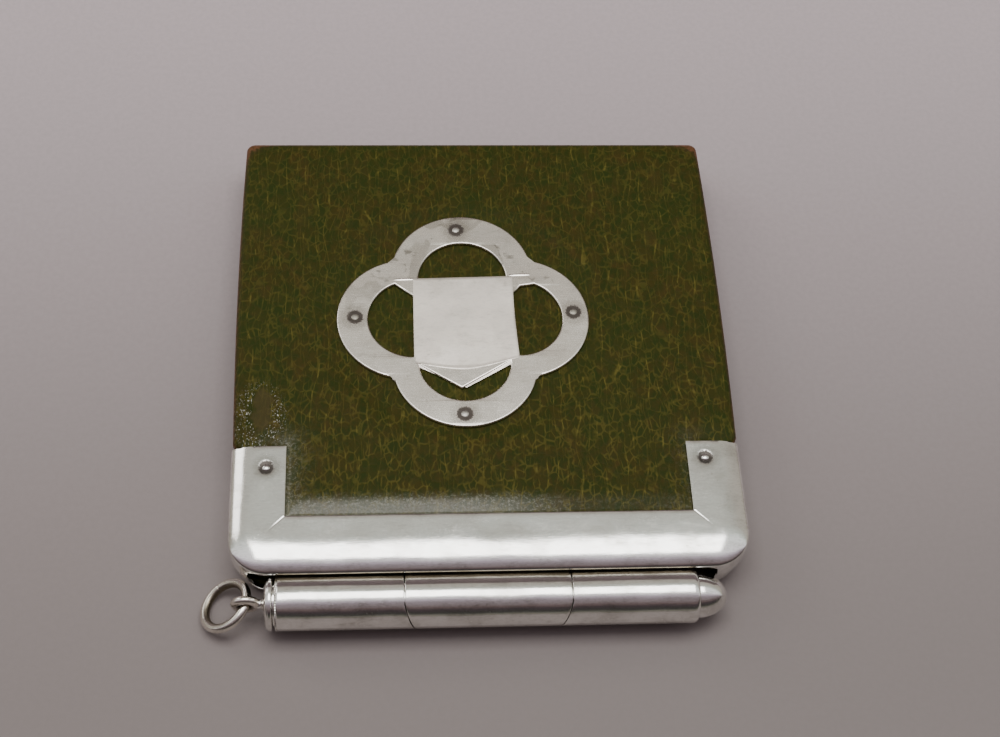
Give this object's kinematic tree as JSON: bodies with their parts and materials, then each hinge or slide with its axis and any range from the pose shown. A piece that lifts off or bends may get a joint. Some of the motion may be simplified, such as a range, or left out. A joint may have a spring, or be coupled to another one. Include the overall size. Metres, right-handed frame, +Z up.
{
  "type": "aide-memoire purse",
  "caption": "Slim square leather note purse with polished silver mounts, a pierced quatrefoil on the front cover and a pencil that slides through hinge-like tubes to lock it.",
  "frame": {"origin": "middle of the flat face that the purse rests on, half way between its two sides and between the mounts' front edge and the back of the spine", "axes": "+X to the right along the pencil, seen from the clasp, +Y back to the spine, +Z up through the two covers"},
  "size_m": [0.0802, 0.0856, 0.0101],
  "materials": {
    "silver": "polished silver, softly worn, with fine scratches",
    "silver_dull": "silver left dull inside",
    "green_leather": "crushed dark green leather with an olive vein",
    "silk": "watered silk",
    "pocket_leather": "thin smooth green leather",
    "board": "grey pasteboard",
    "paper": "cream writing paper",
    "graphite": "graphite lead, entered as a matte solid"
  },
  "bodies": {
    "rear_cover": {"rear_leather": "green_leather", "rear_board": "board", "rear_lining": "silk", "rear_mount": "silver", "rear_mount_pins": "silver", "left_knuckle": "silver", "right_knuckle": "silver", "card_pocket": "pocket_leather", "coin_pocket": "pocket_leather"},
    "spine": {"spine_leather": "green_leather", "spine_board": "board", "spine_lining": "silk"},
    "front_cover": {"front_leather": "green_leather", "front_board": "board", "front_lining": "silk", "front_mount": "silver", "front_mount_pins": "silver", "centre_knuckle": "silver", "cartouche": "silver", "cartouche_pins": "silver", "note_pocket": "pocket_leather"},
    "pad": {"note_pad": "paper", "note_pad_back": "board"},
    "sleeve": {"pencil_sleeve": "silver"},
    "pencil": {"pencil_head": "silver", "pencil_eye": "silver", "lead_holder": "silver_dull", "pencil_lead": "graphite"},
    "ring": {"jump_ring": "silver"}
  },
  "joints": [
    {"name": "spine_fold", "type": "hinge", "parent": "rear_cover", "child": "spine", "pos_m": [0, 0.0393, 0.00165], "axis": [-1, 0, 0], "range_deg": [0, 84]},
    {"name": "cover_fold", "type": "hinge", "parent": "spine", "child": "front_cover", "pos_m": [0, 0.0393, 0.00755], "axis": [-1, 0, 0], "range_deg": [0, 84]},
    {"name": "pad_slide", "type": "slide", "parent": "front_cover", "child": "pad", "axis": [1, 0, 0], "range_m": [0, 0.06]},
    {"name": "pencil_slide", "type": "slide", "parent": "rear_cover", "child": "sleeve", "axis": [-1, 0, 0], "range_m": [0, 0.07]},
    {"name": "holder_draw", "type": "slide", "parent": "sleeve", "child": "pencil", "axis": [-1, 0, 0], "range_m": [0, 0.05]},
    {"name": "ring_swing", "type": "hinge", "parent": "pencil", "child": "ring", "pos_m": [-0.03537, -0.04233, 0.0047], "axis": [0.2419, 0.9703, 0], "range_deg": [0, 75]}
  ],
  "couplings": [
    {"joint": "spine_fold", "follows": "cover_fold", "ratio": 1}
  ]
}
